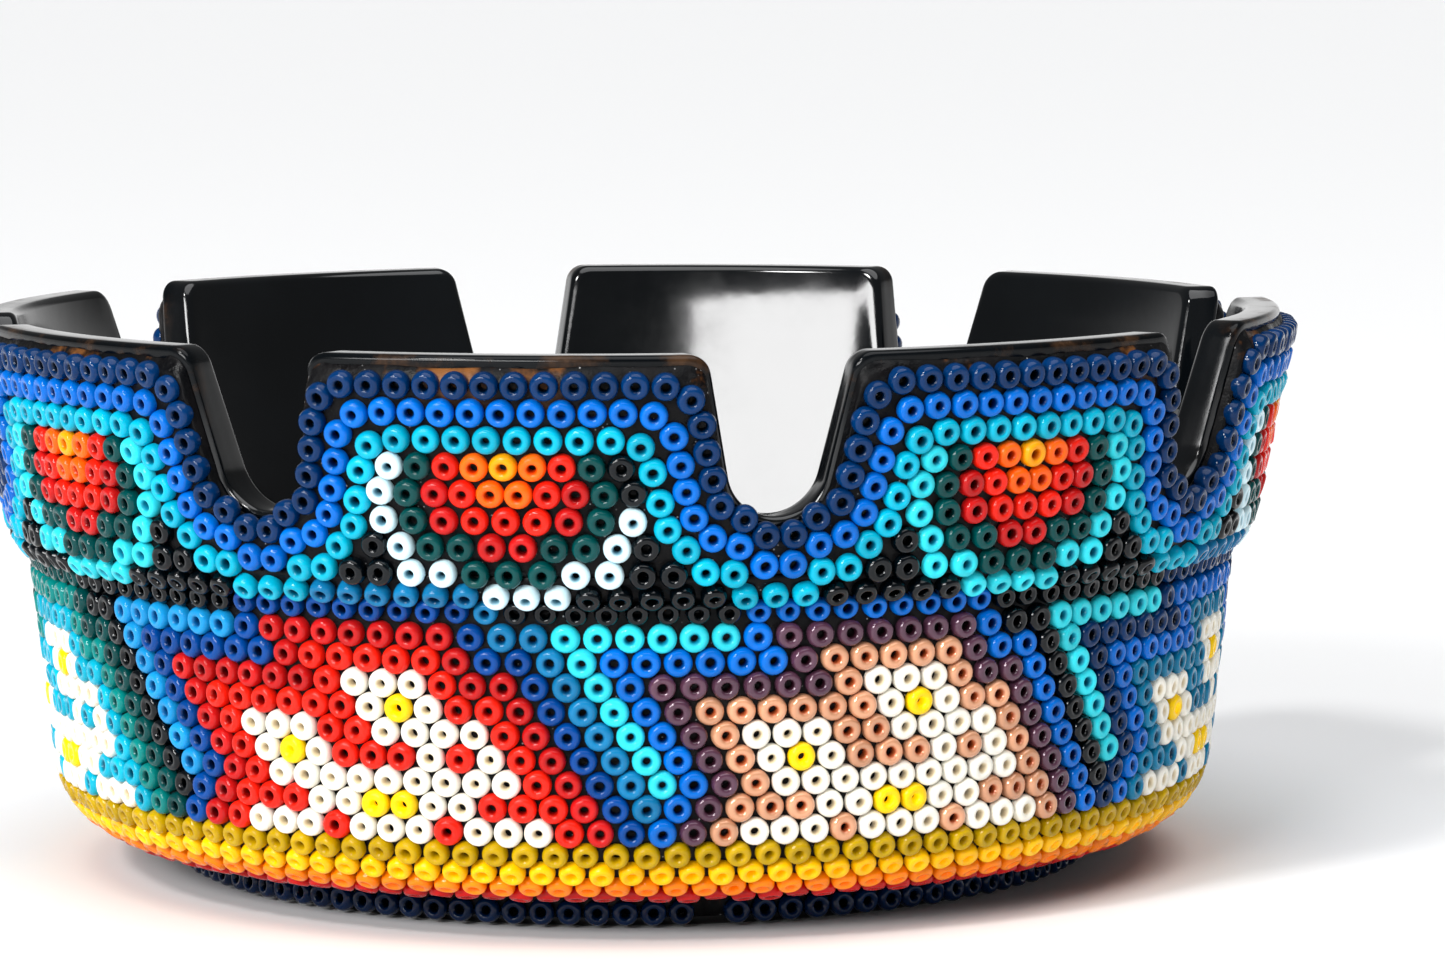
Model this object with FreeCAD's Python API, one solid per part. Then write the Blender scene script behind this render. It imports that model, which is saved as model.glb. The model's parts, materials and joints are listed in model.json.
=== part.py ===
"""Beaded ashtray: a round moulded dish with eight cigarette notches, skinned outside with dark wax
and glass seed beads that stand on end, hole outward.  Millimetres, +Z up, origin at the centre of
the resting face.  Angles are counted from -Y toward +X; angle 0 is the middle of a notch."""
import FreeCAD, Part
import math
import os

V = FreeCAD.Vector

# ---------------------------------------------------------------- driving dimensions
HEIGHT = 42.5            # resting face to rim
NOTCHES = 8              # cigarette notches, one lobe of rim between each pair
RIM_RADIUS = 50.0        # outer radius of the bare rim
UPPER_TILT = 11.9        # upper wall leans outward, degrees
LEDGE_TOP = (46.75, 27.1)       # radius, height where the upper wall ends
LEDGE_FOOT = (44.95, 24.75)     # radius, height where the lower wall starts
LEDGE_BEAD = (47.03, 25.46, 37.4)   # radius, height and dip of the row on the ledge
UNDER_BEAD = (45.99, 24.31, 15)     # and of the row under it
LOWER_TILT = 6.13        # lower wall leans outward, degrees
CORNER_CENTRE = (38.28, 9.23)   # centre of the round bottom corner
CORNER_RADIUS = 4.97
FOOT_RADIUS, FOOT_INNER = 33.67, 30.4
RECESS = 2.8             # height of the underside inside the foot ring
FLOOR = 7.0              # height of the bowl floor
BOWL_TOP, BOWL_LOW, BOWL_LOW_Z = 47.1, 39.6, 12.5
BOWL_FLAT = 33.5         # radius where the floor turns up
RIM_ROUND = 0.9          # rounding of the rim edges

NOTCH_DEPTH = 11.5
NOTCH_HALF = 3.55        # half width low down, where the round bottom starts
NOTCH_HALF_TOP = 4.95    # half width under the rounded shoulders
NOTCH_SHOULDER = 1.6     # radius of the rounded shoulders

WAX = 0.35               # thickness of the wax skin
AIR = 0.01               # clearance between neighbouring pieces
WAX_INSET = 0.3          # bare plastic strip left round the rim edge

BEAD_H, BEAD_HOLE = 1.3, 0.6
BEAD_STAND = WAX + 2 * AIR + BEAD_H / 2 + 0.01    # bead centre above the plastic
OD_RIM, OD_ROW, OD_SMALL, OD_LEDGE, OD_BASE = 1.93, 2.02, 1.93, 1.79, 1.82
OD_UNDER, OD_FOOT = 1.72, 1.9

RIM_STEP = 1.945         # spacing of the rim rows, measured down the wall
RIM_FIRST = 1.85         # first row below the rim
LINE_CLEAR = 1.5         # first contour line of beads from the notch edge
LINE_SLANT = 80.0        # slant of the contour lines up the flank, degrees from level
LEDGE_COLUMNS = 17       # beads per notch pitch in the two rows at the ledge
WALL_COLUMNS = 16        # beads per notch pitch in the rows of the lower wall and the base
PANEL_COLUMNS = (17, 17, 17, 15, 15, 15, 15, 17)   # beads per row of each panel, from the first
FIRST_PANEL = -46.2      # angle at which the first panel starts, degrees
ROW_FIRST, ROW_STEP = 22.48, 1.743
BASE_STEP = 15.85        # degrees round the bottom corner between rows
BASE_LEAD = 1.0          # degrees added before the first of them
FOOT_BEADS, FOOT_ROW = 108, 1.24
LOST_FOOT_BEADS = (107, 38, 81)

# ---------------------------------------------------------------- bead charts
# rim lobe, rows four to eight: a arc, G dark green, d dark red, R red, O orange, Y yellow, K black,
# e end of the arc, black on the lobe whose arc stops short
EYE = ["aGROYORGe", "aGdROORdGe", "aGdRRRdGa", "KaGGddGGaK", "KKaaGGGaaKK"]
SHORT_ARC_LOBE = 7
LEDGE_ROWS = ("lllKKKKKaaaaKKKKK", "lllssssssaaaKKKKK")     # l rim line, s steel blue
# lower wall, one panel: b border, f fill, w and y flower, o outline, s right line,
# t left line and n outline of the next panel, K black; the number is the first column
UNDER_ROW = (-1.0, "ooooooooosKKKKKKKK")
CHART = [
    (0.0, "bbbbbbbosstttttt" + "n"),
    (0.5, "bfffffboost" + "nnnnnn"),
    (-4.0, "bbbbbbfwwwfbb" + "ostn"),
    (-3.5, "bffffffwywffb" + "ostn"),
    (-3.0, "bfwwwffwwwwfb" + "ostn"),
    (-2.5, "bfwywfffwfwfb" + "ostn"),
    (-2.0, "bfwwwwwwwwwfb" + "ostn"),
    (-2.5, "bfffwwyywwfffb" + "osn"),
    (-3.0, "bfwwwfwwwfwwwfb" + "on"),
]
PANELS = ["red", "peach", "blue", "green"]      # colourways in order, twice round
RIGHT_LINE = {"red": "steel", "peach": "black", "blue": "steel", "green": "black"}
LEFT_LINE = {"red": "azure", "peach": "light_turquoise", "blue": "light_turquoise",
             "green": "azure"}
PITCH = 360.0 / NOTCHES


# ---------------------------------------------------------------- helpers
def rz(r, z):
    return V(r, 0, z)


def line(a, b):
    return Part.LineSegment(a, b).toShape()


def arc(a, m, b):
    return Part.Arc(a, m, b).toShape()


def turn(edges):
    """Solid of revolution from a closed outline in the XZ plane."""
    return Part.Face(Part.Wire(edges)).revolve(V(0, 0, 0), V(0, 0, 1), 360)


def around(angle, r, z):
    a = math.radians(angle)
    return V(r * math.sin(a), -r * math.cos(a), z)


def tilted(angle, down):
    """Outward direction at an angle, dipping below the horizontal by `down` degrees."""
    a, d = math.radians(angle), math.radians(down)
    return V(math.sin(a) * math.cos(d), -math.cos(a) * math.cos(d), -math.sin(d))


def bead(od):
    """One seed bead standing on its hole axis: straight waist, rounded ends."""
    ro, ri, h = od / 2, BEAD_HOLE / 2, BEAD_H / 2
    w, e = 0.52 * h, 0.99 * h
    mid = (ri + 0.60 * (ro - ri), h - 0.115)
    return turn([line(rz(ri, -e), rz(ri, e)),
                 arc(rz(ri, e), rz(*mid), rz(ro, w)),
                 line(rz(ro, w), rz(ro, -w)),
                 arc(rz(ro, -w), rz(mid[0], -mid[1]), rz(ri, -e))])


bead_shapes = {}
groups = {}


def place(node, od, angle, r, z, down):
    """Add a bead to a group; its centre is given, its hole points outward."""
    if od not in bead_shapes:
        bead_shapes[od] = bead(od)
    s = bead_shapes[od].copy()
    s.Placement = FreeCAD.Placement(around(angle, r, z),
                                    FreeCAD.Rotation(V(0, 0, 1), tilted(angle, down)))
    groups.setdefault(node, []).append(s)


# ---------------------------------------------------------------- dish
def upper_r(z, off):
    return RIM_RADIUS - (HEIGHT - z) * math.tan(math.radians(UPPER_TILT)) \
        + off / math.cos(math.radians(UPPER_TILT))


def lower_r(z, off):
    return LEDGE_FOOT[0] - (LEDGE_FOOT[1] - z) * math.tan(math.radians(LOWER_TILT)) \
        + off / math.cos(math.radians(LOWER_TILT))


def corner(deg, off):
    """Point of the round bottom corner; deg is the dip of the surface there."""
    a = math.radians(deg)
    q = CORNER_RADIUS + off
    return rz(CORNER_CENTRE[0] + q * math.cos(a), CORNER_CENTRE[1] - q * math.sin(a))


def notch_face(grow):
    """Notch outline in the plane of the wall, centred on the rim edge, larger by `grow`:
    round bottom, flanks tangent to it and to the rounded shoulders."""
    s, h = NOTCH_SHOULDER, NOTCH_HALF + grow
    low = rz(0, -NOTCH_DEPTH + NOTCH_HALF)                 # centre of the round bottom
    side = rz(NOTCH_HALF_TOP + grow + s, -grow - s)        # centre of a shoulder
    span = side - low
    a = math.atan2(span.z, span.x) - math.acos((h + s) / span.Length)
    n = rz(math.cos(a), math.sin(a))
    m = math.radians(45) + a / 2

    def right(p):
        return V(p.x, 0, HEIGHT + p.z)

    def left(p):
        return V(-p.x, 0, HEIGHT + p.z)
    flank, bend = low + n * h, side - n * s
    mid = side + rz(-s * math.cos(m - a), s * math.sin(m - a))
    end, lid = side + rz(0, s), rz(side.x, 3)
    return Part.Face(Part.Wire([
        line(left(lid), left(end)),
        arc(left(end), left(mid), left(bend)),
        line(left(bend), left(flank)),
        arc(left(flank), right(low + rz(0, -h)), right(flank)),
        line(right(flank), right(bend)),
        arc(right(bend), right(mid), right(end)),
        line(right(end), right(lid)),
        line(right(lid), left(lid)),
    ]))


def notch_cutter(grow):
    cut = []
    for i in range(NOTCHES):
        f = notch_face(grow)
        f.translate(V(0, -60, 0))
        s = f.extrude(V(0, 25, 0))
        s.rotate(V(0, 0, 0), V(0, 0, 1), i * PITCH)
        cut.append(s)
    return cut


def dish():
    top, q = HEIGHT, RIM_ROUND
    k = math.sqrt(0.5)
    tan = math.tan(math.radians(UPPER_TILT))
    wall_in = (BOWL_TOP - BOWL_LOW) / (top - BOWL_LOW_Z)
    o1, o2 = rz(RIM_RADIUS - q * tan - 0.02, top - q), rz(RIM_RADIUS - q - 0.05, top)
    om = rz(RIM_RADIUS - 0.32 * q - 0.12, top - 0.30 * q)
    i1, i2 = rz(BOWL_TOP + q + 0.05, top), rz(BOWL_TOP - q * wall_in, top - q)
    im = rz(BOWL_TOP + 0.26 * q, top - 0.30 * q)
    low = corner(LOWER_TILT, 0)
    under = corner(90, 0)
    edges = [
        line(rz(0, FLOOR), rz(BOWL_FLAT, FLOOR)),
        arc(rz(BOWL_FLAT, FLOOR), rz(BOWL_FLAT + 4.5, FLOOR + 1.75), rz(BOWL_LOW, BOWL_LOW_Z)),
        line(rz(BOWL_LOW, BOWL_LOW_Z), i2),
        arc(i2, im, i1),
        line(i1, o2),
        arc(o2, om, o1),
        line(o1, rz(*LEDGE_TOP)),
        line(rz(*LEDGE_TOP), rz(*LEDGE_FOOT)),
        line(rz(*LEDGE_FOOT), low),
        arc(low, corner(48, 0), under),
        line(under, rz(FOOT_RADIUS, under.z)),
        line(rz(FOOT_RADIUS, under.z), rz(FOOT_RADIUS, 0.5)),
        arc(rz(FOOT_RADIUS, 0.5), rz(FOOT_RADIUS - 0.5 + 0.5 * k, 0.5 - 0.5 * k),
            rz(FOOT_RADIUS - 0.5, 0)),
        line(rz(FOOT_RADIUS - 0.5, 0), rz(FOOT_INNER + 0.4, 0)),
        line(rz(FOOT_INNER + 0.4, 0), rz(FOOT_INNER, 0.4)),
        line(rz(FOOT_INNER, 0.4), rz(FOOT_INNER - 0.3, RECESS)),
        line(rz(FOOT_INNER - 0.3, RECESS), rz(0, RECESS)),
        line(rz(0, RECESS), rz(0, FLOOR)),
    ]
    body = turn(edges)
    for c in notch_cutter(0.0):
        body = body.cut(c)
    return body


def wax_upper():
    a, b = AIR, AIR + WAX
    top, low = HEIGHT - RIM_ROUND, LEDGE_TOP[1] + 0.3
    skin = turn([line(rz(upper_r(top, a), top), rz(upper_r(top, b) - 0.12, top)),
                 line(rz(upper_r(top, b) - 0.12, top), rz(upper_r(top - 0.25, b), top - 0.25)),
                 line(rz(upper_r(top - 0.25, b), top - 0.25), rz(upper_r(low, b), low)),
                 line(rz(upper_r(low, b), low), rz(upper_r(low, a), low)),
                 line(rz(upper_r(low, a), low), rz(upper_r(top, a), top))])
    for c in notch_cutter(WAX_INSET):
        skin = skin.cut(c)
    return skin


def ledge_offset(p, off):
    dr, dz = LEDGE_TOP[0] - LEDGE_FOOT[0], LEDGE_TOP[1] - LEDGE_FOOT[1]
    n = math.hypot(dr, dz)
    return (p[0] + off * dz / n, p[1] - off * dr / n)


def wax_lower():
    a, b = AIR, AIR + WAX
    t = LEDGE_TOP[1] + 0.28
    t1 = (upper_r(t, a), t)
    t2 = (upper_r(t, b), t)

    def inner(off):
        up = ledge_offset(LEDGE_TOP, off)
        dn = ledge_offset(LEDGE_FOOT, off)
        return up, (lower_r(dn[1] - 0.05, off), dn[1] - 0.05)
    u1, d1 = inner(a)
    u2, d2 = inner(b)
    l1, l2 = corner(LOWER_TILT, a), corner(LOWER_TILT, b)
    e1, e2 = corner(90, a), corner(90, b)
    return turn([line(rz(*t1), rz(*u1)), line(rz(*u1), rz(*d1)), line(rz(*d1), l1),
                 arc(l1, corner(48, a), e1), line(e1, e2), arc(e2, corner(48, b), l2),
                 line(l2, rz(*d2)), line(rz(*d2), rz(*u2)), line(rz(*u2), rz(*t2)),
                 line(rz(*t2), rz(*t1))])


def wax_foot():
    a, b = AIR, AIR + WAX
    z = corner(90, 0).z
    out = CORNER_CENTRE[0] - AIR
    return turn([line(rz(out, z - a), rz(FOOT_RADIUS + a, z - a)),
                 line(rz(FOOT_RADIUS + a, z - a), rz(FOOT_RADIUS + a, 0.55)),
                 line(rz(FOOT_RADIUS + a, 0.55), rz(FOOT_RADIUS + b, 0.75)),
                 line(rz(FOOT_RADIUS + b, 0.75), rz(FOOT_RADIUS + b, z - b - 0.3)),
                 line(rz(FOOT_RADIUS + b, z - b - 0.3), rz(FOOT_RADIUS + b + 0.3, z - b)),
                 line(rz(FOOT_RADIUS + b + 0.3, z - b), rz(out, z - b)),
                 line(rz(out, z - b), rz(out, z - a))])


# ---------------------------------------------------------------- rim beads
def wall_bead_r(t):
    """Radius of a rim bead's centre, t millimetres down the wall."""
    c = math.cos(math.radians(UPPER_TILT))
    return upper_r(HEIGHT - t * c, 0) + BEAD_STAND * c


R_MID = upper_r(HEIGHT - 9.0, BEAD_STAND)
HALF = math.radians(PITCH / 2) * R_MID


def contour(k):
    """Half of contour line k, from the middle of a notch to the middle of a lobe: round the
    notch bottom, up the slanting flank, round the shoulder, level along the rim."""
    q = NOTCH_HALF + LINE_CLEAR + k * RIM_STEP
    tc = NOTCH_DEPTH - NOTCH_HALF
    top = RIM_FIRST + k * RIM_STEP
    rc = 3.0 - 0.5 * k
    a = math.radians(LINE_SLANT)
    pts = [(q * math.sin(a * i / 16), tc + q * math.cos(a * i / 16)) for i in range(17)]
    x, t = pts[-1]
    rise = t - top - rc + rc * math.cos(a)            # flank up to where the shoulder starts
    x += rise / math.tan(a)
    for i in range(10):
        b = a * (1 - i / 9)
        pts.append((x + rc * (math.sin(a) - math.sin(b)), top + rc * (1 - math.cos(b))))
    pts.append((HALF, top))
    return pts


def line_x(k, t):
    """How far contour line k stands from the middle of the notch at depth t."""
    pts = contour(k)
    for (x0, t0), (x1, t1) in zip(pts, pts[1:]):
        if t1 <= t <= t0:
            return x0 + (x1 - x0) * (t0 - t) / max(t0 - t1, 0.001)
    return 0.0


def along(pts, d):
    for (x0, t0), (x1, t1) in zip(pts, pts[1:]):
        n = math.hypot(x1 - x0, t1 - t0)
        if d <= n:
            return x0 + (x1 - x0) * d / n, t0 + (t1 - t0) * d / n
        d -= n
    return pts[-1]


def line_beads(k, count):
    """Beads of one contour line over a whole pitch, evenly spaced, notch at x = 0."""
    pts = contour(k)
    half = sum(math.hypot(b[0] - a[0], b[1] - a[1]) for a, b in zip(pts, pts[1:]))
    out = []
    for i in range(count):
        d = (i + 0.5) * 2 * half / count
        x, t = along(pts, d) if d <= half else along(pts, 2 * half - d)
        out.append((x if d <= half else 2 * HALF - x, t))
    return out


def settle(beads, least):
    """Nudge crowded beads apart, as a maker does, until none stands nearer than `least`."""
    floor = RIM_FIRST + 7 * RIM_STEP
    for sweep in range(400):
        worst = 0.0
        for i in range(len(beads)):
            for j in range(i + 1, len(beads)):
                a, b = beads[i], beads[j]
                dx = (b[1] - a[1] + HALF) % (2 * HALF) - HALF
                dt = b[2] - a[2]
                if abs(dt) > least or abs(dx) > least * 1.1:
                    continue
                grow = wall_bead_r((a[2] + b[2]) / 2) / R_MID
                d = math.hypot(dx * grow, dt)
                if d < least:
                    worst = max(worst, least - d)
                    push = 0.5 * (least - d) / max(d, 0.01)
                    a[1] -= push * dx
                    b[1] += push * dx
                    a[2] -= push * dt
                    b[2] += push * dt
        for b in beads:
            b[2] = min(max(b[2], RIM_FIRST), floor)
        if worst < 0.01:
            break
    return worst


def rim():
    beads = []
    for k, (node, count) in enumerate((("rim_line_navy", 26), ("rim_line_royal", 25),
                                       ("rim_line_turquoise", 24))):
        for x, t in line_beads(k, count):
            if t < RIM_FIRST + 7 * RIM_STEP + 0.9:
                beads.append([node, x, min(t, RIM_FIRST + 7 * RIM_STEP)])
    names = {"G": "eye_dark_green", "d": "eye_dark_red", "R": "eye_red", "O": "eye_orange",
             "Y": "eye_yellow", "K": "rim_fill_black", "a": "arc", "e": "arc end"}
    for row, text in enumerate(EYE):
        t = RIM_FIRST + (3 + row) * RIM_STEP
        step = 2 * (HALF - line_x(2, t)) / (len(text) + 1)
        for i, c in enumerate(text):
            beads.append([names[c], HALF + (i - (len(text) - 1) / 2) * step, t])
    worst = settle(beads, OD_RIM + 0.06)
    print("rim beads per lobe", len(beads), "crowding left %.3f" % worst)
    c = math.cos(math.radians(UPPER_TILT))
    for lobe in range(NOTCHES):
        for node, x, t in beads:
            if node == "arc end" and lobe == SHORT_ARC_LOBE:
                node = "rim_fill_black"
            elif node.startswith("arc"):
                node = ("arc_light_turquoise", "arc_white")[lobe % 2]
            angle = lobe * PITCH + math.degrees(x / R_MID)
            z = HEIGHT - t * c - BEAD_STAND * math.sin(math.radians(UPPER_TILT))
            place(node, OD_RIM, angle, wall_bead_r(t), z, UPPER_TILT)


# ---------------------------------------------------------------- ledge, lower wall, base, foot
def narrow(text):
    """The same row two beads shorter, its separating lines thinned."""
    spare = 2
    for c in "stKno":
        if spare and c in text:
            text = text.replace(c, "", 1)
            spare -= 1
    return text


def ledge_row():
    width = PITCH / LEDGE_COLUMNS
    for lobe in range(NOTCHES):
        names = {"l": "rim_line_turquoise", "s": "ledge_steel", "K": "rim_fill_black",
                 "a": ("arc_light_turquoise", "arc_white")[lobe % 2]}
        for i, c in enumerate(LEDGE_ROWS[lobe % 2]):
            place(names[c], OD_LEDGE, lobe * PITCH + (i - 1) * width, *LEDGE_BEAD)


def panels():
    """Eight slanting panels round the lower wall, with the row under the ledge."""
    width, under_width = PITCH / WALL_COLUMNS, PITCH / LEDGE_COLUMNS
    start = under_start = FIRST_PANEL
    for panel, columns in enumerate(PANEL_COLUMNS):
        this = PANELS[panel % 4]
        after = PANELS[(panel + 1) % 4]
        names = {"b": this + "_border", "f": this + "_fill", "o": this + "_outline",
                 "n": after + "_outline", "w": "flower_white", "y": "flower_yellow",
                 "s": "line_" + RIGHT_LINE[this], "t": "line_" + LEFT_LINE[after],
                 "K": "ledge_black"}
        full = columns == max(PANEL_COLUMNS)
        first, text = UNDER_ROW
        text = text if full else narrow(text)
        for i, c in enumerate(text):
            place(names[c], OD_UNDER, under_start + (first + i) * under_width, *UNDER_BEAD)
        under_start += len(text) * under_width
        for row, (first, text) in enumerate(CHART):
            z = ROW_FIRST - ROW_STEP * row
            for i, c in enumerate(text if full else narrow(text)):
                place(names[c], OD_SMALL if c in "bo" else OD_ROW, start + (first + i) * width,
                      lower_r(z, BEAD_STAND), z, LOWER_TILT)
        start += columns * width


def base_and_foot():
    width = PITCH / WALL_COLUMNS
    for i, node in enumerate(("base_olive", "base_yellow", "base_orange", "base_dark_red")):
        dip = LOWER_TILT + BASE_LEAD + BASE_STEP * (i + 1)
        p = corner(dip, BEAD_STAND)
        for j in range(NOTCHES * WALL_COLUMNS):
            place(node, OD_BASE, FIRST_PANEL + (j + 0.5 * ((i + 1) % 2)) * width, p.x, p.z, dip)
    for j in range(FOOT_BEADS):
        if j not in LOST_FOOT_BEADS:
            place("foot_navy", OD_FOOT, j * 360.0 / FOOT_BEADS, FOOT_RADIUS + BEAD_STAND,
                  FOOT_ROW, 0)


# ---------------------------------------------------------------- build and write
os.makedirs("parts", exist_ok=True)
solids = {"dish": dish(), "wax_rim": wax_upper(), "wax_wall": wax_lower(),
          "wax_foot": wax_foot()}
rim()
ledge_row()
panels()
base_and_foot()
for name, shape in solids.items():
    print(name, shape.isValid(), len(shape.Solids), round(shape.Volume, 1))
    shape.exportStep("parts/" + name + ".step")
for name, beads in groups.items():
    Part.makeCompound(beads).exportStep("parts/" + name + ".step")
print("nodes", len(solids) + len(groups), "beads", sum(len(b) for b in groups.values()))
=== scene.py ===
"""Looks of the beaded ashtray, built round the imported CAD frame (metres, +Z up, base on z = 0)."""

import json
import math

import bpy
import numpy as np
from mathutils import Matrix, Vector
from mathutils.kdtree import KDTree


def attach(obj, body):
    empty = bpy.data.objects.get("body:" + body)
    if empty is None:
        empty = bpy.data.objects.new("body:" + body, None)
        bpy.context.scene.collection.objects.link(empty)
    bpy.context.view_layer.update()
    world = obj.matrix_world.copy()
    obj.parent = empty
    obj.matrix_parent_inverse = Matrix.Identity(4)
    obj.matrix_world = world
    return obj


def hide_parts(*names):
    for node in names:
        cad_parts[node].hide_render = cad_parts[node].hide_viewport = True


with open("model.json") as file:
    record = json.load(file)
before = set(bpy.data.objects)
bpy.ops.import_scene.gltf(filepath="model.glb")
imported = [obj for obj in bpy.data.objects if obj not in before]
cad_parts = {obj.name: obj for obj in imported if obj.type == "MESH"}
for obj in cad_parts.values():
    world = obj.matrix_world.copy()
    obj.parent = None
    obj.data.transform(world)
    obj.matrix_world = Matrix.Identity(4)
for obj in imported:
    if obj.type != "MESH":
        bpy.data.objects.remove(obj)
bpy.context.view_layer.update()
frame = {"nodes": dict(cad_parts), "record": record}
MM = 0.001
scene = bpy.context.scene

# ------------------------------------------------------------------ the dish's own dimensions, mm
HEIGHT, NOTCHES = 42.5, 8
RIM_RADIUS, UPPER_TILT = 50.0, math.radians(11.9)
LEDGE_TOP, LEDGE_FOOT = (46.75, 27.1), (44.95, 24.75)
LOWER_TILT = math.radians(6.13)
CORNER, CORNER_RADIUS = (38.28, 9.23), 4.97
FOOT_RADIUS, FOOT_INNER, RECESS, FLOOR = 33.67, 30.4, 2.8, 7.0
BOWL_TOP, BOWL_LOW, BOWL_LOW_Z, BOWL_FLAT = 47.1, 39.6, 12.5, 33.5
NOTCH_DEPTH, NOTCH_HALF, NOTCH_HALF_TOP, SHOULDER = 11.5, 3.55, 4.95, 1.6
WAX = 0.36                       # thickness of the wax under a bead
EDGE = 0.55                      # rounding of the rim and notch edges
STRAIGHT = 29.0                  # inside this radius mesh columns run straight to the centre
HALF_PITCH = math.pi / NOTCHES


def upper_r(z, off=0.0):
    """Radius of the upper wall at height z, `off` out from its surface."""
    return RIM_RADIUS - (HEIGHT - z) * math.tan(UPPER_TILT) + off / math.cos(UPPER_TILT)


def lower_r(z):
    return LEDGE_FOOT[0] - (LEDGE_FOOT[1] - z) * math.tan(LOWER_TILT)


def inner_r(z):
    return BOWL_LOW + (BOWL_TOP - BOWL_LOW) * (z - BOWL_LOW_Z) / (HEIGHT - BOWL_LOW_Z)


# ------------------------------------------------------------------ meshes
def new_mesh(name, points, quads, sharp=None):
    """Smooth-shaded mesh object from millimetre points and quads, turned to face outward. A repeated
    last corner makes a triangle; edges that bend more than `sharp` degrees stay sharp."""
    points = np.asarray(points, float).reshape(-1, 3) * MM
    quads = np.asarray(quads)
    a, b, c, d = (points[quads[:, k]] for k in range(4))
    volume = (np.cross(b, c) + np.cross(c, d)) * a
    if volume.sum() < 0:
        quads = quads[:, [1, 0, 3, 2]]
    me = bpy.data.meshes.new(name)
    tri = quads[:, 2] == quads[:, 3]
    counts = np.where(tri, 3, 4)
    keep = np.ones(quads.shape, bool)
    keep[tri, 3] = False
    loops = quads[keep]
    me.vertices.add(len(points))
    me.vertices.foreach_set("co", points.astype(np.float32).ravel())
    me.loops.add(len(loops))
    me.loops.foreach_set("vertex_index", loops.astype(np.int32))
    me.polygons.add(len(quads))
    first = np.concatenate([[0], counts.cumsum()[:-1]])
    me.polygons.foreach_set("loop_start", first.astype(np.int32))
    me.update(calc_edges=True)
    me.polygons.foreach_set("use_smooth", np.ones(len(quads), bool))
    if sharp:
        me.set_sharp_from_angle(angle=math.radians(sharp))
    me.update()
    ob = bpy.data.objects.new(name, me)
    scene.collection.objects.link(ob)
    return ob


def ring_grid(columns, rows, close_rows=True):
    """Quads of a grid that closes round its columns, and round its rows too if asked."""
    i = np.arange(columns)
    j = np.arange(rows if close_rows else rows - 1)
    i0, j0 = np.meshgrid(i, j, indexing="ij")
    i1, j1 = (i0 + 1) % columns, (j0 + 1) % rows
    corners = [i0 * rows + j0, i1 * rows + j0, i1 * rows + j1, i0 * rows + j1]
    return np.stack(corners, -1).reshape(-1, 4)


def attribute(ob, name, values):
    a = ob.data.attributes.new(name, "FLOAT", "POINT")
    a.data.foreach_set("value", np.asarray(values, np.float32))


# ------------------------------------------------------------------ where the beads stand
def bead_places(ob):
    """Centre, outward axis and radius in mm of every bead of a CAD node, off its mesh. Each bead is
    four surface patches that follow each other in the vertex list, the hole first; no triangle
    reaches from one patch to the next."""
    me = ob.data
    co = np.empty(len(me.vertices) * 3, np.float32)
    me.vertices.foreach_get("co", co)
    co = co.reshape(-1, 3).astype(float) / MM
    tri = np.empty(len(me.loops), np.int32)
    me.loops.foreach_get("vertex_index", tri)
    tri = tri.reshape(-1, 3)
    span = np.zeros(len(co) + 1, int)
    np.add.at(span, tri.min(1), 1)
    np.add.at(span, tri.max(1), -1)
    cuts = np.nonzero(span.cumsum()[:-1] == 0)[0] + 1
    starts = np.concatenate([[0], cuts[cuts < len(co)]])
    ends = np.append(starts[1:], len(co))
    if len(starts) % 4:
        raise RuntimeError(f"{ob.name}: {len(starts)} patches")
    out = []
    for k in range(0, len(starts), 4):
        hole = np.unique(np.round(co[starts[k]:ends[k]], 4), axis=0)
        mid = (hole.min(0) + hole.max(0)) / 2
        axis = np.linalg.eigh(np.cov((hole - mid).T))[1][:, -1]
        if axis[:2] @ mid[:2] < 0:
            axis = -axis
        p = co[starts[k]:ends[k + 3]] - mid
        flat = p - np.outer(p @ axis, axis)
        out.append((mid, axis, np.linalg.norm(flat, axis=1).max()))
    if max(np.linalg.norm(co[starts] - co[ends - 1], axis=1)) > 3.0:
        raise RuntimeError(f"{ob.name}: a patch is larger than a bead")
    return out


AROUND, SECTION = 22, 14         # points round a bead and round its section
BORE, TALL = 0.24, 1.27          # bore radius and length of a bead, mm
BORE_SPREAD, TALL_SPREAD = 0.16, 0.06
SECTION_POWER = 2 / 2.3          # makes the section a little squarer than an ellipse
LEAN = 0.040                     # spread of the bead axes, radians
SINK = (0.06, 0.20)              # how far a bead is pressed into the wax, mm
UNEVEN = 0.02                    # spread of the bead diameters
OVAL, WEDGE = 0.022, 0.05        # most a bead is out of round, and thicker on one side


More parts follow.
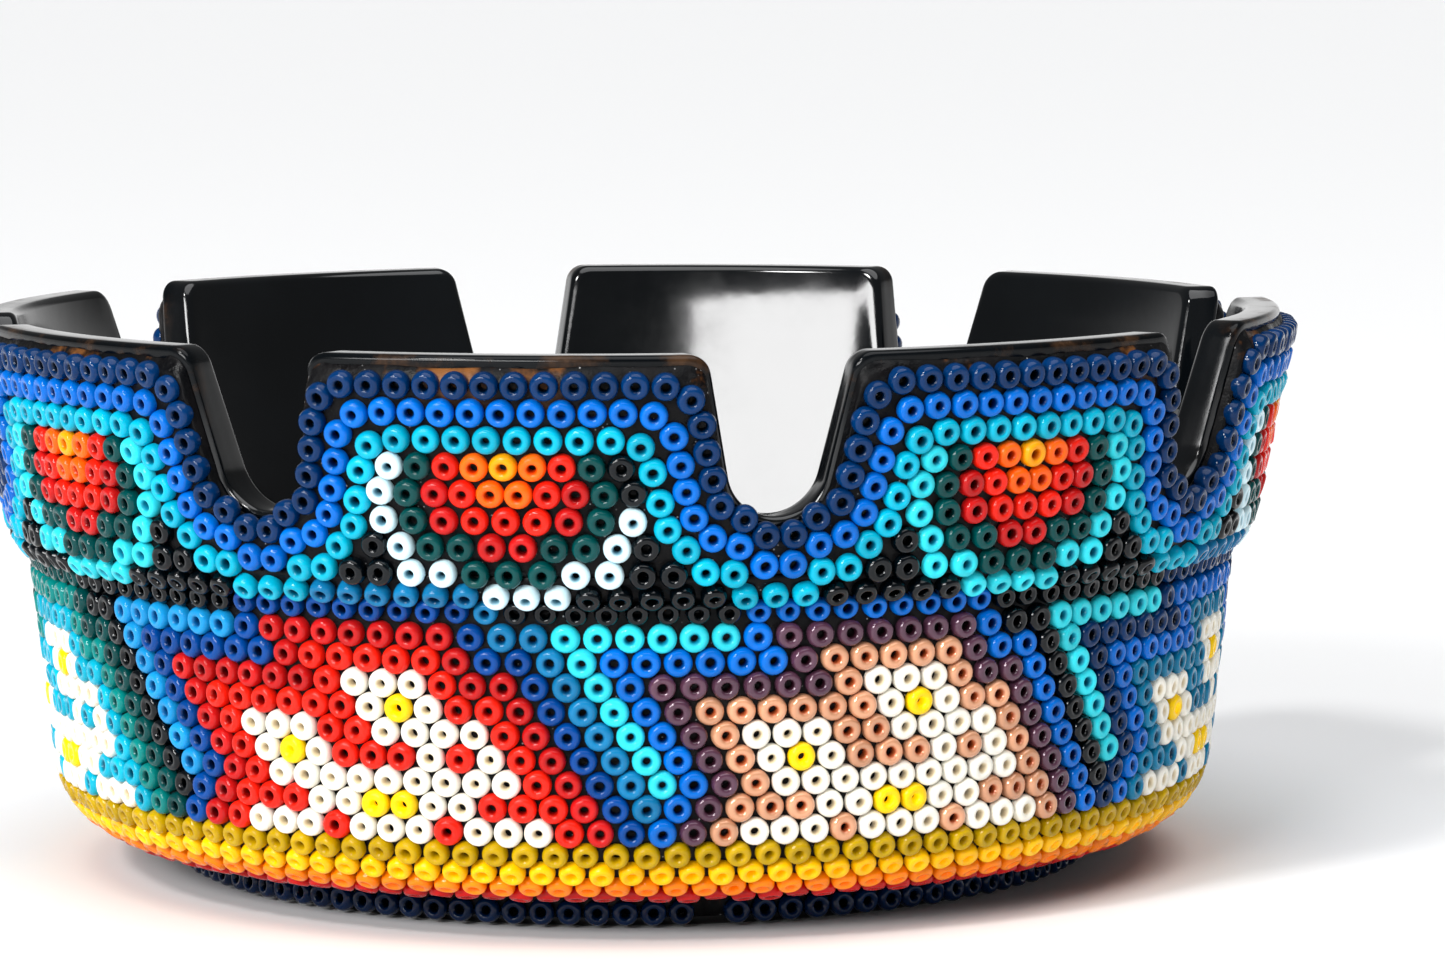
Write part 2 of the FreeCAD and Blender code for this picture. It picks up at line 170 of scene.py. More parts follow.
def beads(name, places, rng, od_scale):
    """One mesh of rounded glass rings, each a little different, pressed a little into the wax."""
    n = len(places)
    centre = np.array([p[0] for p in places])
    w = np.array([p[1] for p in places])
    ro = np.array([p[2] for p in places]) * od_scale * (1 + UNEVEN * rng.uniform(-1, 0.6, n))
    ri = BORE * (1 + BORE_SPREAD * rng.uniform(-1, 1, n))
    h = TALL * (1 + TALL_SPREAD * rng.uniform(-1, 1, n))
    w = w + rng.normal(0, LEAN, (n, 3))
    w /= np.linalg.norm(w, axis=1)[:, None]
    u = np.cross(w, np.where(np.abs(w[:, 2:3]) < 0.9, [[0, 0, 1.0]], [[1.0, 0, 0]]))
    u /= np.linalg.norm(u, axis=1)[:, None]
    v = np.cross(w, u)
    centre = centre - w * rng.uniform(*SINK, n)[:, None]
    th = np.linspace(0, 2 * np.pi, AROUND, endpoint=False)
    se = np.linspace(0, 2 * np.pi, SECTION, endpoint=False)
    sx = np.sign(np.cos(se)) * np.abs(np.cos(se)) ** SECTION_POWER
    sz = np.sign(np.sin(se)) * np.abs(np.sin(se)) ** SECTION_POWER
    rho = (ro + ri)[:, None] / 2 + (ro - ri)[:, None] / 2 * sx
    up = h[:, None] / 2 * sz
    oval = 1 + (rng.uniform(0, OVAL, n)[:, None]
                * np.cos(2 * (th[None] + rng.uniform(0, 6, n)[:, None])))
    wedge = rng.uniform(0, WEDGE, n)[:, None] * np.cos(th[None] + rng.uniform(0, 6, n)[:, None])
    rad = rho[:, None, :] * oval[:, :, None]
    pts = (centre[:, None, None, :]
           + (rad * np.cos(th)[None, :, None])[..., None] * u[:, None, None, :]
           + (rad * np.sin(th)[None, :, None])[..., None] * v[:, None, None, :]
           + (up[:, None, :] * (1 + wedge[:, :, None]))[..., None] * w[:, None, None, :])
    one = ring_grid(AROUND, SECTION)
    quads = (one[None] + (np.arange(n) * AROUND * SECTION)[:, None, None]).reshape(-1, 4)
    ob = new_mesh(name, pts, quads)
    per = AROUND * SECTION
    attribute(ob, "tone", np.repeat(rng.uniform(0, 1, n), per))
    attribute(ob, "tone_b", np.repeat(rng.uniform(0, 1, n), per))
    bore = np.broadcast_to(((sx + 1) / 2)[None, None, :], (n, AROUND, SECTION))
    attribute(ob, "bore", bore.ravel())
    return ob


# ------------------------------------------------------------------ columns round the rim
LOBE_STEPS = 30                  # columns from the notch zone to the middle of a lobe


def outline(grow):
    """Edge of the rim from the middle of a notch to where the lobe's straight top begins, as
    (x across the notch, height), the opening larger by `grow`."""
    s, h = SHOULDER, NOTCH_HALF + grow
    low = np.array([0, -NOTCH_DEPTH + NOTCH_HALF])
    side = np.array([NOTCH_HALF_TOP + grow + s, -grow - s])
    span = side - low
    a = math.atan2(span[1], span[0]) - math.acos((h + s) / np.linalg.norm(span))
    n = np.array([math.cos(a), math.sin(a)])
    pts = []
    for d in np.linspace(-math.pi / 2, a, 18):
        pts.append(low + h * np.array([math.cos(d), math.sin(d)]))
    flank, bend = low + n * h, side - n * s
    for f in np.linspace(0, 1, 15)[1:-1]:
        pts.append(flank + (bend - flank) * f)
    for d in np.linspace(math.pi + a, math.pi / 2, 11):
        pts.append(side + s * np.array([math.cos(d), math.sin(d)]))
    return np.array(pts) + [0, HEIGHT]


def rim_columns(grow):
    """Per column round the whole rim: lobe index, side, x in the notch zone or share of the lobe,
    and the height of the edge."""
    half = outline(grow)
    cols = []
    for x, z in half:
        cols.append((x, 0.0, z))
    for f in np.linspace(0, 1, LOBE_STEPS + 1)[1:]:
        cols.append((half[-1][0], f, half[-1][1]))
    full = []
    for k in range(NOTCHES):
        right = [(k, 1, x, f, z) for x, f, z in cols]
        left = [(k + 1, -1, x, f, z) for x, f, z in cols][::-1]
        full += right + left[1:-1]
    return full


def column_angle(col, r):
    """Angle of a column at radius r; further in than STRAIGHT it no longer changes."""
    k, side, x, f = col[:4]
    e = math.asin(x / max(r, STRAIGHT))
    return 2 * HALF_PITCH * k + side * (e + (HALF_PITCH - e) * f)


def point(angle, r, z):
    return (r * math.sin(angle), -r * math.cos(angle), z)


# ------------------------------------------------------------------ dish
def build_dish():
    """One closed surface: bowl floor and wall, rounded rim, upper wall, ledge, lower wall, bottom
    corner, foot ring and underside, cut round its columns by the notches."""
    q = EDGE
    steps = 5
    bends = [math.radians(90) * i / steps for i in range(steps + 1)]
    cols = {round(q * (1 - math.sin(t)), 6): rim_columns(q * (1 - math.sin(t))) for t in bends}
    base = rim_columns(q)
    last = math.pi / 2 * 0.93                # where the bowl's round corner meets its wall
    rows_all = []
    for c in range(len(base)):
        rows = []

        def at(r, z, grow=q):
            col = cols[round(grow, 6)][c]
            rows.append(point(column_angle(col, r), r, z))
        for r in (4.0, 14.0, 24.0, 30.0, BOWL_FLAT):
            at(r, FLOOR)
        for d in np.linspace(0.12, 1.0, 7):
            a = d * last
            at(BOWL_FLAT + (BOWL_LOW - BOWL_FLAT) * math.sin(a) / math.sin(last),
               FLOOR + (BOWL_LOW_Z - FLOOR) * (1 - math.cos(a)) / (1 - math.cos(last)))
        ztop = base[c][4]
        for f in np.linspace(0, 1, 11)[1:-1]:
            z = BOWL_LOW_Z + (ztop - BOWL_LOW_Z) * f
            at(inner_r(z), z)
        for t in bends:
            g = q * (1 - math.sin(t))
            z = cols[round(g, 6)][c][4]
            at(inner_r(z) + q * (1 - math.cos(t)), z, g)
        z = cols[0.0][c][4]
        for f in (0.33, 0.67):
            a, b = inner_r(z) + q, upper_r(z) - q
            at(a + (b - a) * f, z, 0.0)
        for t in bends[::-1]:
            g = q * (1 - math.sin(t))
            z = cols[round(g, 6)][c][4]
            at(upper_r(z) - q * (1 - math.cos(t)), z, g)
        for f in np.linspace(0, 1, 7)[1:]:
            z = ztop + (LEDGE_TOP[1] - ztop) * f
            at(upper_r(z), z)
        at(*LEDGE_FOOT)
        at(lower_r(17.0), 17.0)
        for d in np.linspace(LOWER_TILT, math.pi / 2, 7):
            at(CORNER[0] + CORNER_RADIUS * math.cos(d), CORNER[1] - CORNER_RADIUS * math.sin(d))
        under = CORNER[1] - CORNER_RADIUS
        for r, z in ((FOOT_RADIUS + 0.3, under), (FOOT_RADIUS, under - 0.3), (FOOT_RADIUS, 0.55),
                     (FOOT_RADIUS - 0.16, 0.16), (FOOT_RADIUS - 0.55, 0.0), (FOOT_INNER + 0.5, 0.0),
                     (FOOT_INNER + 0.14, 0.14), (FOOT_INNER, 0.5), (FOOT_INNER - 0.2, RECESS - 0.4),
                     (FOOT_INNER - 0.7, RECESS), (20.0, RECESS), (5.0, RECESS)):
            at(r, z)
        rows_all.append(rows)
    n, m = len(rows_all), len(rows_all[0])
    pts = np.array(rows_all, float).reshape(-1, 3)
    quads = ring_grid(n, m, close_rows=False)
    top, under = len(pts), len(pts) + 1
    pts = np.vstack([pts, [[0, 0, FLOOR]], [[0, 0, RECESS]]])
    i = np.arange(n)
    after = (i + 1) % n
    tops, unders = np.full(n, top), np.full(n, under)
    cap_a = np.stack([after * m, i * m, tops, tops], -1)
    cap_b = np.stack([i * m + m - 1, after * m + m - 1, unders, unders], -1)
    return new_mesh("dish_body", pts, np.vstack([quads, cap_a, cap_b]), sharp=50)


# ------------------------------------------------------------------ wax
def hash_noise(p, scale, seed):
    """Smooth value noise at points p (mm), about -1 to 1."""
    q = p * scale + seed * 17.13
    i = np.floor(q).astype(int)
    f = q - i
    f = f * f * (3 - 2 * f)

    def h(a):
        n = (a[:, 0] * 73856093) ^ (a[:, 1] * 19349663) ^ (a[:, 2] * 83492791)
        n = (n ^ (n >> 13)) * 1274126177 & 0x7FFFFFFF
        return (n % 65536) / 32768.0 - 1
    out = 0
    for dx in (0, 1):
        for dy in (0, 1):
            for dz in (0, 1):
                wgt = (np.where(dx, f[:, 0], 1 - f[:, 0]) * np.where(dy, f[:, 1], 1 - f[:, 1])
                       * np.where(dz, f[:, 2], 1 - f[:, 2]))
                out = out + wgt * h(i + [dx, dy, dz])
    return out


RIDGE_FROM, RIDGE_WIDTH = 0.75, 0.55     # distance from a bead's centre where the ridge rises, mm
RIDGE = 0.46                     # height of the ridges between beads, mm


def ridged(pts, nrm, tree, edge):
    """Outer wax surface: low under each bead, squeezed up between beads, thin at its free edge."""
    near = np.array([tree.find(Vector(p))[2] for p in pts])
    rise = np.clip((near - RIDGE_FROM) / RIDGE_WIDTH, 0, 1)
    rise = rise * rise * (3 - 2 * rise) * RIDGE
    rise = rise * np.clip(1.7 - np.maximum(near - 1.35, 0) / 0.5, 0, 1).clip(0, 1)
    lump = 0.07 * hash_noise(pts, 1.1, 1) + 0.035 * hash_noise(pts, 3.1, 2)
    out = WAX * edge + (rise + lump) * edge - 0.05
    return pts + nrm * np.maximum(out, 0.03)[:, None]


def closed_skin(name, outer, inner):
    """Skin between an outer grid and an inner grid with the same columns."""
    n = outer.shape[0]
    pts = np.concatenate([outer, inner[:, ::-1]], 1)
    quads = ring_grid(n, pts.shape[1])
    return new_mesh(name, pts, quads)


def build_wax_rim(tree):
    """Wax of the upper wall, from just below the rim edge to the ledge, its upper edge wavy."""
    cols = rim_columns(0.25)
    rows = 34
    wob = [0.30 * math.sin(0.9 * i * 0.12) + 0.22 * math.sin(0.37 * i + 1)
           for i in range(len(cols))]
    pts = np.zeros((len(cols), rows, 3))
    nrm = np.zeros_like(pts)
    edge = np.zeros((len(cols), rows))
    inner = np.zeros((len(cols), 2, 3))
    low = LEDGE_TOP[1] + 0.12
    for c, col in enumerate(cols):
        top = col[4] - 0.42 - (0.10 + 0.25 * wob[c]) * (col[3] > 0)
        for j in range(rows):
            f = (j / (rows - 1)) ** 1.15
            z = top + (low - top) * f
            a = column_angle(col, upper_r(z))
            pts[c, j] = point(a, upper_r(z), z)
            nrm[c, j] = (math.sin(a) * math.cos(UPPER_TILT), -math.cos(a) * math.cos(UPPER_TILT),
                         -math.sin(UPPER_TILT))
            edge[c, j] = min((top - z) / 0.9 + 0.15, 1.0)
        for j, z in enumerate((top, low)):
            a = column_angle(col, upper_r(z, 0.02))
            inner[c, j] = point(a, upper_r(z, 0.02), z)
    outer = ridged(pts.reshape(-1, 3), nrm.reshape(-1, 3), tree, edge.ravel()).reshape(pts.shape)
    return closed_skin("wax_rim_skin", outer, inner)


def build_wax_wall(tree):
    """Ledge, lower wall, round corner, underside and the side of the foot ring."""
    path = []

    def add(r, z, nr, nz):
        path.append((r, z, nr, nz))
    lr, lz = LEDGE_TOP[0] - LEDGE_FOOT[0], LEDGE_TOP[1] - LEDGE_FOOT[1]
    ln = math.hypot(lr, lz)
    cu, su = math.cos(UPPER_TILT), math.sin(UPPER_TILT)
    add(*LEDGE_TOP, cu, -su)
    for f in (0.12, 0.3, 0.5, 0.7, 0.88):
        add(LEDGE_TOP[0] - lr * f, LEDGE_TOP[1] - lz * f, lz / ln, -lr / ln)
    cl, sl = math.cos(LOWER_TILT), math.sin(LOWER_TILT)
    z0, z1 = LEDGE_FOOT[1] - 0.35, CORNER[1] - CORNER_RADIUS * sl
    for f in np.linspace(0, 1, 38):
        z = z0 + (z1 - z0) * f
        add(lower_r(z), z, cl, -sl)
    for d in np.linspace(LOWER_TILT, math.pi / 2, 20)[1:]:
        add(CORNER[0] + CORNER_RADIUS * math.cos(d), CORNER[1] - CORNER_RADIUS * math.sin(d),
            math.cos(d), -math.sin(d))
    under = CORNER[1] - CORNER_RADIUS
    for r in (37.4, 36.4, 35.4, 34.6):
        add(r, under, 0, -1)
    add(FOOT_RADIUS, under, 0.7, -0.7)
    for z in (3.3, 2.7, 2.1, 1.5, 1.0, 0.7):
        add(FOOT_RADIUS, z, 1, 0)
    path = np.array(path)
    n, m = 700, len(path)
    ang = np.linspace(0, 2 * np.pi, n, endpoint=False)[:, None]
    r, z, nr, nz = path.T
    pts = np.stack([r * np.sin(ang), -r * np.cos(ang), np.broadcast_to(z, (n, m))], -1)
    nrm = np.stack([nr * np.sin(ang), -nr * np.cos(ang), np.broadcast_to(nz, (n, m))], -1)
    edge = np.ones((n, m))
    edge[:, -2:] = (0.6, 0.2)
    outer = ridged(pts.reshape(-1, 3), nrm.reshape(-1, 3), tree, edge.ravel()).reshape(pts.shape)
    outer[..., 2] = np.maximum(outer[..., 2], 0.35)
    # the inner side needs only the bends of the path and every fourth row of the round corner
    key = sorted({0, 5, 6, 43, *range(46, 63, 4), 62, m - 8, m - 7, m - 1})
    inner = pts[:, key] + nrm[:, key] * 0.02
    return closed_skin("wax_wall_skin", outer, inner)


# ------------------------------------------------------------------ materials
def srgb(*c):
    return tuple((v / 12.92 if v <= 0.04045 else ((v + 0.055) / 1.055) ** 2.4)
                 for v in (x / 255 for x in c))


class Nodes:
    """Short-hand for building a node tree."""

    def __init__(self, name):
        self.mat = bpy.data.materials.new(name)
        self.mat.use_nodes = True
        self.tree = self.mat.node_tree
        self.tree.nodes.clear()
        self.out = self.add("ShaderNodeOutputMaterial")
        self.bsdf = self.add("ShaderNodeBsdfPrincipled")
        self.link(self.bsdf, "BSDF", self.out, "Surface")

    def add(self, kind, **settings):
        n = self.tree.nodes.new(kind)
        for k, v in settings.items():
            if hasattr(n, k):
                setattr(n, k, v)
            else:
                n.inputs[k].default_value = v
        return n

    def link(self, a, out, b, into):
        self.tree.links.new(a.outputs[out], b.inputs[into])

    def attr(self, name):
        return self.add("ShaderNodeAttribute", attribute_name=name), "Fac"

    def ramp(self, source, out, lo, hi, to_lo=0.0, to_hi=1.0):
        """Smooth step of an output, from to_lo at lo to to_hi at hi."""
        n = self.add("ShaderNodeMapRange", clamp=True)
        n.interpolation_type = "SMOOTHSTEP"
        for k, v in (("From Min", lo), ("From Max", hi), ("To Min", to_lo), ("To Max", to_hi)):
            n.inputs[k].default_value = v
        self.link(source, out, n, "Value")
        return n, "Result"

    def mix(self, factor, a, b):
        """Colour mix; each of the three is a constant or a (node, output) pair."""
        n = self.add("ShaderNodeMix", data_type="RGBA")
        for k, v in ((0, factor), (6, a), (7, b)):
            if isinstance(v, tuple) and isinstance(v[0], bpy.types.Node):
                self.tree.links.new(v[0].outputs[v[1]], n.inputs[k])
            elif k == 0:
                n.inputs[0].default_value = v
            else:
                n.inputs[k].default_value = (*v[:3], 1.0)
        return n, 2

    def noise(self, scale, detail=3.0, rough=0.5):
        t = self.add("ShaderNodeTexCoord")
        n = self.add("ShaderNodeTexNoise")
        n.inputs["Scale"].default_value = scale
        n.inputs["Detail"].default_value = detail
        n.inputs["Roughness"].default_value = rough
        self.link(t, "Object", n, "Vector")
        return n, "Fac"

    def bump(self, source, out, strength, distance):
        n = self.add("ShaderNodeBump")
        n.inputs["Strength"].default_value = strength
        n.inputs["Distance"].default_value = distance
        self.link(source, out, n, "Height")
        self.link(n, "Normal", self.bsdf, "Normal")


def scaled(c, k):
    return tuple(min(max(v * k, 0.0), 1.0) for v in c)


def glass_bead(name, colour, hole, coat=0.10, pearl=0.0, light=1.16, dark=0.84, sub=0.0, painted_glow=0.0):
    """Glass seed bead, glossy and clouded, between `dark` and `light` times its colour from bead to
    bead; in the bore it turns to the `hole` colour, painted shade, and on pale glass a painted glow
    there stands in for the light let through the glass."""
    n = Nodes(name)
    tone, tone_b, bore = n.attr("tone"), n.attr("tone_b"), n.attr("bore")
    base = n.mix(tone, scaled(colour, dark), scaled(colour, light))
    cloud = n.ramp(*n.noise(900.0, 2.0), 0.35, 0.75)
    base = n.mix(n.ramp(cloud[0], cloud[1], 0.0, 1.0, 0.0, 0.25), base, scaled(colour, 0.72))
    # painted shade: towards the bore the colour turns to the darker hole colour
    base = n.mix(n.ramp(*bore, 0.02, 0.34, 1.0, 0.0), base, hole)
    n.link(base[0], base[1], n.bsdf, "Base Color")
    r = n.ramp(*tone_b, 0.0, 1.0, 0.072, 0.216)
    n.link(r[0], r[1], n.bsdf, "Roughness")
    n.bsdf.inputs["Specular IOR Level"].default_value = 0.17
    n.bsdf.inputs["Coat Weight"].default_value = coat
    n.bsdf.inputs["Coat Roughness"].default_value = 0.05
    if sub:
        n.bsdf.inputs["Subsurface Weight"].default_value = sub
        n.bsdf.inputs["Subsurface Radius"].default_value = (0.5, 0.4, 0.35)
        n.bsdf.inputs["Subsurface Scale"].default_value = 0.0008
    # painted light: emission in the bore stands in for light let through pale glass
    if painted_glow:
        lit = n.ramp(*bore, 0.0, 0.40, painted_glow, 0.0)
        n.bsdf.inputs["Emission Color"].default_value = (*colour, 1.0)
        n.link(lit[0], lit[1], n.bsdf, "Emission Strength")
    if pearl:
        n.bsdf.inputs["Metallic"].default_value = pearl
    wave = n.noise(1500.0, 2.0)
    n.bump(wave[0], wave[1], 0.10, 0.0001)
    return n.mat


def both(n, a, b):
    """Product of two outputs."""
    m = n.add("ShaderNodeMath", operation="MULTIPLY")
    n.link(a[0], a[1], m, 0)
    n.link(b[0], b[1], m, 1)
    return m, 0


def height(n):
    """Height above the table, metres."""
    xyz = n.add("ShaderNodeSeparateXYZ")
    n.link(n.add("ShaderNodeTexCoord"), "Object", xyz, "Vector")
    return xyz, "Z"


def wax_material():
    """Near-black wax with coppery smears close to the rim and a few pale specks, flecks in the wax
    whose glints are painted in as pale colour.
    """
    n = Nodes("wax")
    base = n.mix(n.ramp(*n.noise(260.0, 5.0, 0.6), 0.35, 0.7), srgb(3, 4, 6), srgb(14, 12, 13))
    high = n.ramp(*height(n), 0.0385, 0.0412)
    smear = n.ramp(*n.noise(120.0, 5.0, 0.65), 0.54, 0.66)
    base = n.mix(both(n, high, smear), base, srgb(120, 74, 34))
    # pale specks: flecks in the wax with their glints painted in as pale grey base colour
    speck = n.add("ShaderNodeTexVoronoi")
    speck.inputs["Scale"].default_value = 2600.0
    n.link(n.add("ShaderNodeTexCoord"), "Object", speck, "Vector")
    fleck_glint = both(n, n.ramp(speck, "Distance", 0.10, 0.22, 1.0, 0.0),
                n.ramp(*n.noise(700.0, 1.0), 0.60, 0.68))
    base = n.mix(fleck_glint, base, srgb(150, 150, 150))
    n.link(base[0], base[1], n.bsdf, "Base Color")
    r = n.ramp(*n.noise(420.0, 3.0), 0.3, 0.7, 0.25, 0.6)
    n.link(r[0], r[1], n.bsdf, "Roughness")
    n.bsdf.inputs["Specular IOR Level"].default_value = 0.12
    b = n.noise(1300.0, 4.0, 0.6)
    n.bump(b[0], b[1], 0.5, 0.00025)
    return n.mat


def dish_material():
    """Black glossy plastic with fingered smears and a thin brown wax film near the outer rim."""
    n = Nodes("dish")
    flat = n.add("ShaderNodeVectorMath", operation="MULTIPLY")
    flat.inputs[1].default_value = (1, 1, 0)
    n.link(n.add("ShaderNodeTexCoord"), "Object", flat, 0)
    length = n.add("ShaderNodeVectorMath", operation="LENGTH")
    n.link(flat, 0, length, 0)
    outer = both(n, n.ramp(length, "Value", 0.0478, 0.0495), n.ramp(*height(n), 0.0300, 0.0395))
    film = both(n, outer, n.ramp(*n.noise(170.0, 6.0, 0.65), 0.50, 0.68))
    base = n.mix(n.ramp(*n.noise(75.0, 4.0), 0.35, 0.75), srgb(3, 5, 7), srgb(8, 11, 14))
    base = n.mix(film, base, srgb(62, 42, 26))
    n.link(base[0], base[1], n.bsdf, "Base Color")
    smear = n.ramp(*n.noise(48.0, 6.0, 0.7), 0.35, 0.72, 0.07, 0.17)
    rough = n.add("ShaderNodeMath", operation="MULTIPLY_ADD")
    n.link(*film, rough, 0)
    rough.inputs[1].default_value = 0.18
    n.link(smear[0], smear[1], rough, 2)
    n.link(rough, 0, n.bsdf, "Roughness")
    level = n.ramp(*outer, 0.0, 1.0, 0.50, 0.16)
    n.link(level[0], level[1], n.bsdf, "Specular IOR Level")
    b = n.noise(240.0, 3.0)
    n.bump(b[0], b[1], 0.05, 0.0003)
    return n.mat


# hole colours below are painted shade in each bead's bore; glow numbers are painted light there in
# pale glass
GLASS = {
    "navy": glass_bead("navy", srgb(0, 40, 84), hole=srgb(0, 6, 18), light=1.25),
    "royal": glass_bead("royal", srgb(0, 98, 190), hole=srgb(0, 24, 76)),
    "turquoise": glass_bead("turquoise", srgb(2, 164, 192), hole=srgb(1, 78, 104)),
    "light_turquoise": glass_bead("light_turquoise", srgb(44, 204, 218), hole=srgb(12, 126, 154),
                                  sub=0.1),
    "white": glass_bead("white", srgb(238, 234, 222), hole=srgb(206, 188, 150), light=1.03,
                        dark=0.93, sub=0.15, painted_glow=0.09),
    "arc_white": glass_bead("arc_white", srgb(210, 238, 246), hole=srgb(92, 140, 158), light=1.05,
                            dark=0.92, sub=0.15),
    "dark_green": glass_bead("dark_green", srgb(0, 64, 64), hole=srgb(0, 20, 22)),
    "black": glass_bead("black", srgb(1, 5, 9), hole=srgb(0, 1, 2), coat=0.3, light=1.3),
    "red": glass_bead("red", srgb(220, 30, 14), hole=srgb(128, 6, 4)),
    # darker red of the row under the base: partly the beads' own colour, partly painted shade there
    "dark_red": glass_bead("dark_red", srgb(180, 20, 20), hole=srgb(84, 4, 6)),
    "orange": glass_bead("orange", srgb(248, 94, 12), hole=srgb(184, 46, 4), sub=0.1),
    "eye_yellow": glass_bead("eye_yellow", srgb(250, 160, 10), hole=srgb(206, 100, 2), sub=0.1),
    "yellow": glass_bead("yellow", srgb(252, 206, 8), hole=srgb(248, 190, 4), light=1.05, dark=0.88,
                         sub=0.15, painted_glow=0.55),
    "peach": glass_bead("peach", srgb(204, 146, 110), hole=srgb(172, 80, 40), coat=0.9, pearl=0.22),
    "purple": glass_bead("purple", srgb(80, 48, 66), hole=srgb(34, 12, 20), coat=0.7, pearl=0.15),
    "steel": glass_bead("steel", srgb(14, 108, 156), hole=srgb(4, 48, 84)),
    "dark_blue": glass_bead("dark_blue", srgb(0, 62, 134), hole=srgb(0, 16, 48)),
    "azure": glass_bead("azure", srgb(20, 136, 196), hole=srgb(4, 68, 124)),
    "teal": glass_bead("teal", srgb(4, 122, 118), hole=srgb(1, 56, 56)),
    "teal_blue": glass_bead("teal_blue", srgb(4, 112, 150), hole=srgb(1, 50, 78)),
    "deep_red": glass_bead("deep_red", srgb(178, 14, 12), hole=srgb(84, 2, 4)),
    "olive": glass_bead("olive", srgb(180, 146, 2), hole=srgb(164, 128, 2), sub=0.1, painted_glow=0.12),
    "base_yellow": glass_bead("base_yellow", srgb(250, 186, 4), hole=srgb(240, 170, 2), sub=0.1,
                              painted_glow=0.35),
    "base_orange": glass_bead("base_orange", srgb(244, 128, 4), hole=srgb(226, 104, 2), sub=0.1,
                              painted_glow=0.30),
    # foot row navy, darker than navy: partly the beads' own colour, partly painted shade under the
    # base
    "foot_navy": glass_bead("foot_navy", srgb(1, 24, 56), hole=srgb(0, 5, 14), light=1.3),
}

# ------------------------------------------------------------------ pieces
RIM_GROUPS = ("rim", "eye", "arc")
RIM_SCALE, WALL_SCALE = 1.045, 1.03      # visible beads against the CAD ones
FIRST_SEED = 1000
slots = {s["node"]: s["material_slot"] for s in frame["record"]["subparts"]}
bead_nodes = sorted(n for n in frame["nodes"] if not n.startswith(("dish", "wax")))
every = []
for index, node in enumerate(bead_nodes):
    places = bead_places(frame["nodes"][node])
    every += [p[0] for p in places]
    rng = np.random.default_rng(FIRST_SEED + index)
    ob = beads("beads_" + node, places, rng, RIM_SCALE if node.startswith(RIM_GROUPS) else WALL_SCALE)
    ob.data.materials.append(GLASS[slots[node]])
    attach(ob, "root")
    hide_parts(node)
print("beads", len(every))

tree = KDTree(len(every))
for i, c in enumerate(every):
    tree.insert(Vector(c), i)
tree.balance()

wax = wax_material()
for ob, nodes in ((build_wax_rim(tree), ["wax_rim"]),
                  (build_wax_wall(tree), ["wax_wall", "wax_foot"])):
    ob.data.materials.append(wax)
    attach(ob, "root")
    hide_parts(*nodes)

dish = build_dish()
dish.data.materials.append(dish_material())
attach(dish, "root")
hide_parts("dish")

# ------------------------------------------------------------------ stage, light, camera
REACH = 30000.0                  # half width of the floor, mm
floor = new_mesh("floor", [(-REACH, -REACH, 0), (REACH, -REACH, 0), (REACH, REACH, 0),
                           (-REACH, REACH, 0)], [[0, 1, 2, 3]])
f = Nodes("floor")
f.bsdf.inputs["Base Color"].default_value = (0.90, 0.90, 0.905, 1.0)
f.bsdf.inputs["Roughness"].default_value = 0.7
f.bsdf.inputs["Specular IOR Level"].default_value = 0.1
floor.data.materials.append(f.mat)

world = bpy.data.worlds.new("studio")
scene.world = world
world.use_nodes = True
sky = world.node_tree
bg = sky.nodes["Background"]
aim = sky.nodes.new("ShaderNodeTexCoord")
split = sky.nodes.new("ShaderNodeSeparateXYZ")
fade = sky.nodes.new("ShaderNodeMapRange")
fade.interpolation_type = "SMOOTHSTEP"
for key, value in (("From Min", 0.05), ("From Max", 0.28), ("To Min", 0.97), ("To Max", 0.14)):
    fade.inputs[key].default_value = value
sky.links.new(aim.outputs["Generated"], split.inputs[0])
sky.links.new(split.outputs["Z"], fade.inputs["Value"])
sky.links.new(fade.outputs["Result"], bg.inputs["Strength"])
bg.inputs["Color"].default_value = (1.0, 1.0, 1.0, 1.0)


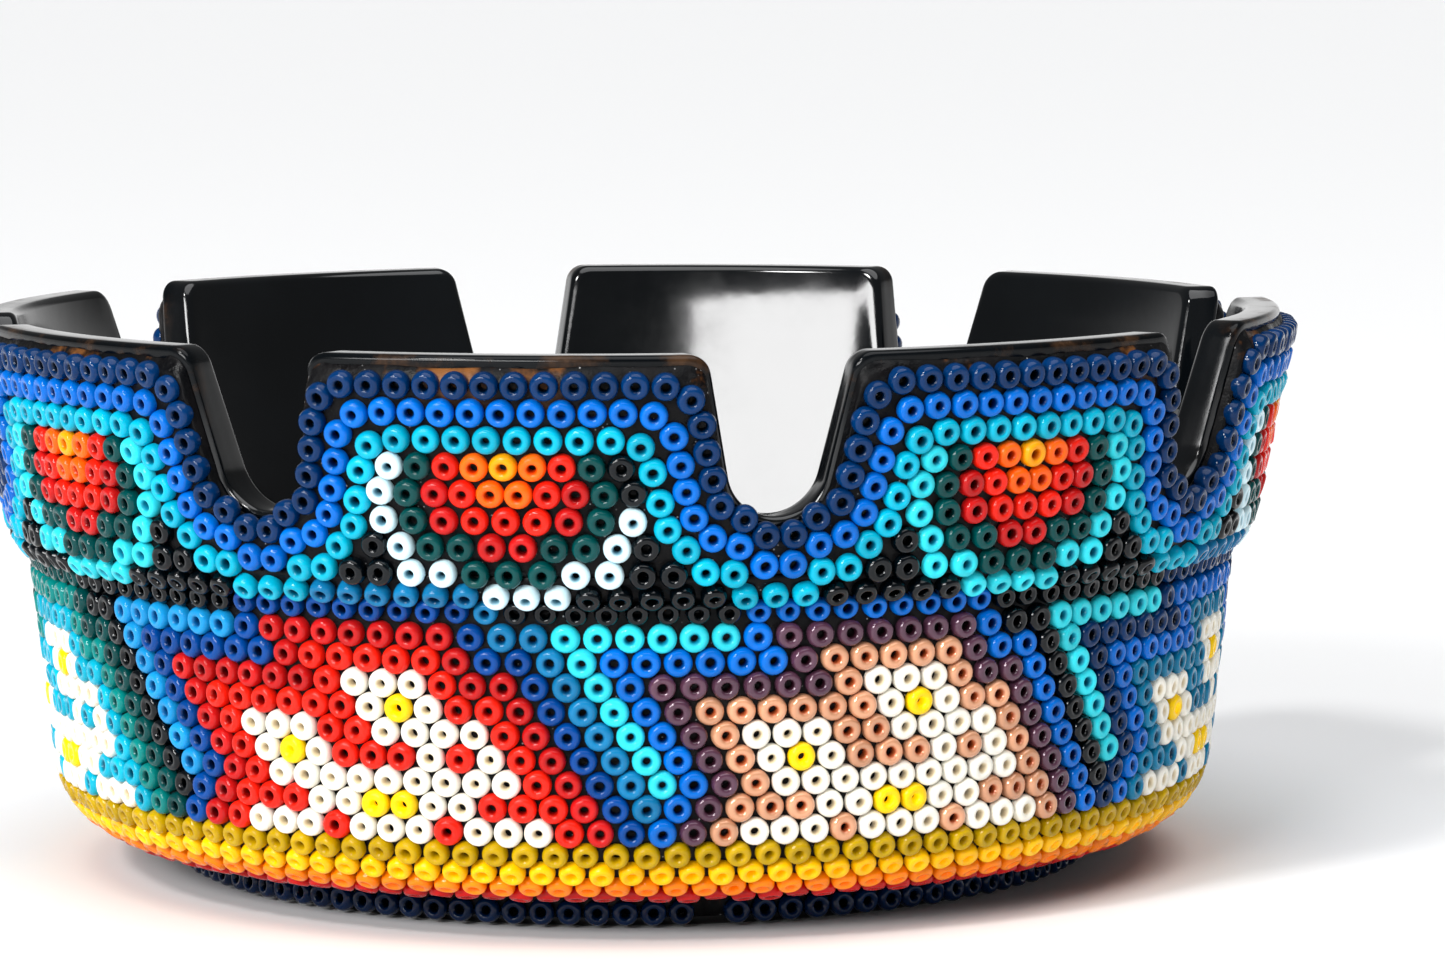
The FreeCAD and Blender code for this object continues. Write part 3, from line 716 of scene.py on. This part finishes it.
def sun(name, azimuth, elevation, spread, power, colour):
    """Soft distant light; azimuth is counted from -Y toward +X, all angles in degrees."""
    data = bpy.data.lights.new(name, "SUN")
    data.angle = math.radians(spread)
    data.energy = power
    data.color = colour
    a, e = math.radians(azimuth), math.radians(elevation)
    ob = bpy.data.objects.new(name, data)
    back = Vector((math.sin(a) * math.cos(e), -math.cos(a) * math.cos(e), math.sin(e)))
    ob.rotation_euler = back.to_track_quat("Z", "Y").to_euler()
    scene.collection.objects.link(ob)


LAMP_DISTANCE, LAMP_AIM = 0.9, 0.03      # from the point it is aimed at, and that point's height


def softbox(name, azimuth, elevation, size, power):
    """Rectangular lamp aimed at the middle of the object, placed like a sun."""
    data = bpy.data.lights.new(name, "AREA")
    data.shape = "RECTANGLE"
    data.size, data.size_y = size
    data.energy = power
    a, e = math.radians(azimuth), math.radians(elevation)
    back = Vector((math.sin(a) * math.cos(e), -math.cos(a) * math.cos(e), math.sin(e)))
    ob = bpy.data.objects.new(name, data)
    ob.location = back * LAMP_DISTANCE + Vector((0, 0, LAMP_AIM))
    ob.rotation_euler = back.to_track_quat("Z", "Y").to_euler()
    scene.collection.objects.link(ob)


sun("key", -50, 42, 9, 1.2, (1.0, 0.995, 0.98))
sun("top", 20, 78, 60, 2.1, (0.98, 0.99, 1.0))
softbox("window", -44, 22, (0.54, 0.20), 7.4)
scene.view_settings.view_transform = "Standard"

# the photograph's view: direction, distance in metres and roll, then where it is aimed
AZ, EL, DIST, ROLL = math.radians(-13.15), math.radians(5.87), 0.4306, math.radians(-0.33)
SHIFT, AIM_HEIGHT, LENS = 0.00705, 0.02873, 138.5
back = Vector((math.sin(AZ) * math.cos(EL), -math.cos(AZ) * math.cos(EL), math.sin(EL)))
right = Vector((math.cos(AZ), math.sin(AZ), 0))
target = right * SHIFT + Vector((0, 0, AIM_HEIGHT))
cam_data = bpy.data.cameras.new("camera")
cam_data.sensor_width = 36.0
cam_data.lens = LENS
cam_data.clip_start = 0.01
cam = bpy.data.objects.new("camera", cam_data)
cam.location = target + back * DIST
turn = (-back).to_track_quat("-Z", "Y")
cam.rotation_euler = turn.to_euler()
cam.rotation_euler.rotate_axis("Z", ROLL)
scene.collection.objects.link(cam)
scene.camera = cam
